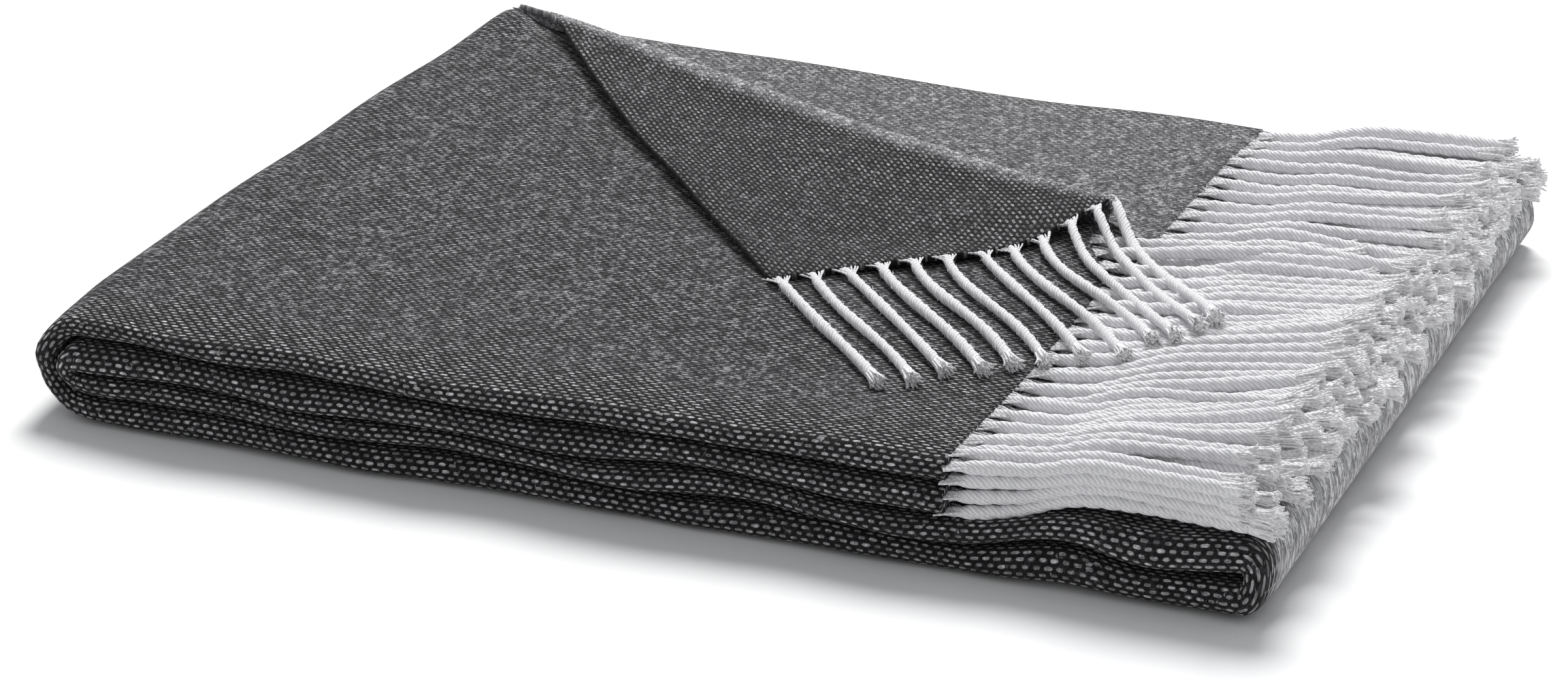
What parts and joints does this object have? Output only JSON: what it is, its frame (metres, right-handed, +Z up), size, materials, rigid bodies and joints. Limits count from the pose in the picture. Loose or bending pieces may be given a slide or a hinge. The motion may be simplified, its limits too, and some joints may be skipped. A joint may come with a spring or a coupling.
{
  "type": "folded throw blanket",
  "caption": "Woven throw folded into a flat stack, with twisted fringes on its short ends and one corner turned back.",
  "frame": {"origin": "middle of the flat face that the folded stack rests on", "axes": "+X along the stack from the wrapped end to the fringed end, +Y from the folded front edge to the back, +Z up"},
  "size_m": [0.4046, 0.325, 0.038],
  "materials": {
    "woven_cloth": "lofty woven cloth, charcoal melange with a brushed nap",
    "fringe_yarn": "off-white twisted yarn with a soft fuzz"
  },
  "bodies": {
    "throw": {"fringe_row_2": "fringe_yarn", "fringe_row_3": "fringe_yarn", "fringe_row_4": "fringe_yarn", "fringe_row_5": "fringe_yarn", "fringe_row_6": "fringe_yarn", "fringe_row_7": "fringe_yarn", "fringe_row_8": "fringe_yarn", "top_tassel_01": "fringe_yarn", "top_tassel_02": "fringe_yarn", "top_tassel_03": "fringe_yarn", "top_tassel_04": "fringe_yarn", "top_tassel_05": "fringe_yarn", "top_tassel_06": "fringe_yarn", "top_tassel_07": "fringe_yarn", "top_tassel_08": "fringe_yarn", "top_tassel_09": "fringe_yarn", "top_tassel_10": "fringe_yarn", "top_tassel_11": "fringe_yarn", "top_tassel_12": "fringe_yarn", "top_tassel_13": "fringe_yarn", "top_tassel_14": "fringe_yarn", "top_tassel_15": "fringe_yarn", "top_tassel_16": "fringe_yarn", "top_tassel_17": "fringe_yarn", "woven_panel": "woven_cloth"},
    "corner": {"turned_corner": "woven_cloth", "corner_tassel_01": "fringe_yarn", "corner_tassel_02": "fringe_yarn", "corner_tassel_03": "fringe_yarn", "corner_tassel_04": "fringe_yarn", "corner_tassel_05": "fringe_yarn", "corner_tassel_06": "fringe_yarn", "corner_tassel_07": "fringe_yarn", "corner_tassel_08": "fringe_yarn", "corner_tassel_09": "fringe_yarn", "corner_tassel_10": "fringe_yarn", "corner_tassel_11": "fringe_yarn", "corner_tassel_12": "fringe_yarn"}
  },
  "joints": [
    {"name": "corner_turn", "type": "hinge", "parent": "throw", "child": "corner", "pos_m": [-0.0405, 0.097, 0.036], "axis": [-0.9113, 0.4117, 0], "range_deg": [0, 180]}
  ]
}
